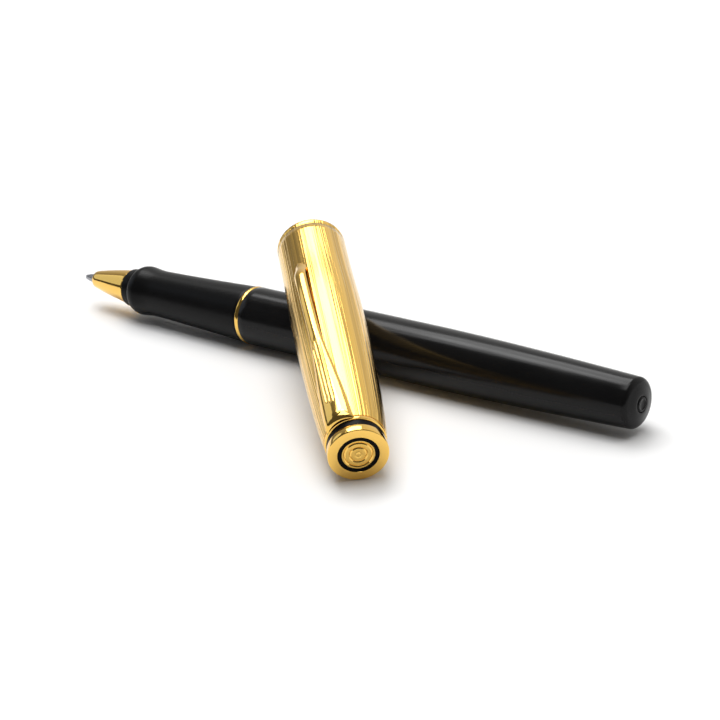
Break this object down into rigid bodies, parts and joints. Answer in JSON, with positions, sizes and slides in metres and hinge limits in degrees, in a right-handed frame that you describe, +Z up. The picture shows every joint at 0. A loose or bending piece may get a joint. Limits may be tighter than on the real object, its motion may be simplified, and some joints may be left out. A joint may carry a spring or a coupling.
{
  "type": "rollerball pen",
  "caption": "Uncapped rollerball pen with a black barrel and grip and a gold nose cone, its gold clip cap lying across the barrel.",
  "frame": {"origin": "centre of the bounding box on the floor that the pen and cap lie on", "axes": "+X along the pen from its nose to its tail, +Z up from the floor, -Y towards the end of the cap that stands on the floor"},
  "size_m": [0.125, 0.0481, 0.0242],
  "materials": {
    "gold_plate": "polished, with fine lengthwise lines on the cap",
    "black_lacquer": "gloss",
    "satin_black": "satin",
    "steel": "satin",
    "carbide": "polished",
    "brass": "turned",
    "grey_plastic": "moulded",
    "fibre": "ink-soaked fibre",
    "soft_rubber": "matt"
  },
  "bodies": {
    "barrel": {"barrel": "black_lacquer", "barrel_bush": "brass", "tail_plug": "black_lacquer", "refill_spring": "steel"},
    "trim_ring": {"trim_ring": "gold_plate"},
    "section": {"section_connector": "brass", "grip_section": "satin_black", "nose_cone": "gold_plate"},
    "refill": {"refill_tube": "steel", "ink_reservoir": "fibre", "refill_nose": "grey_plastic", "feed_rod": "fibre", "refill_tip": "steel", "refill_end_plug": "grey_plastic"},
    "ball": {"writing_ball": "carbide"},
    "cap": {"cap_shell": "gold_plate", "cap_liner": "grey_plastic", "tip_seal": "soft_rubber", "clip_ring": "gold_plate", "cap_spacer_ring": "black_lacquer", "finial": "gold_plate", "finial_inlay_ring": "black_lacquer", "finial_disc": "gold_plate", "finial_screw": "steel"},
    "clip": {"clip": "gold_plate"}
  },
  "joints": [
    {"name": "section_turn", "type": "hinge", "parent": "trim_ring", "child": "section", "pos_m": [-0.0196, 0.0158, 0.0052], "axis": [-1, 0, 0], "range_deg": [0, 2880]},
    {"name": "section_travel", "type": "slide", "parent": "barrel", "child": "trim_ring", "axis": [-1, 0, 0], "range_m": [0, 0.006]},
    {"name": "refill_push", "type": "slide", "parent": "section", "child": "refill", "axis": [1, 0, 0], "range_m": [0, 0.001], "stiffness_N_per_m": 900, "springref_m": -0.0012, "deforming": ["refill_spring"]},
    {"name": "ball_roll", "type": "hinge", "parent": "refill", "child": "ball", "pos_m": [-0.06215, 0.0158, 0.0052], "axis": [0, 1, 0], "continuous": true},
    {"name": "cap_lift", "type": "slide", "parent": "barrel", "child": "cap", "axis": [0, 0, 1], "range_m": [0, 0.06]},
    {"name": "clip_flex", "type": "hinge", "parent": "cap", "child": "clip", "pos_m": [0.03123, -0.02089, 0.01003], "axis": [0.677, 0.552, 0.4868], "range_deg": [0, 2.5], "stiffness_Nm_per_rad": 1.6, "springref_deg": -0.57}
  ],
  "couplings": [
    {"joint": "section_turn", "follows": "section_travel", "rad_per_m": 8377.6}
  ]
}
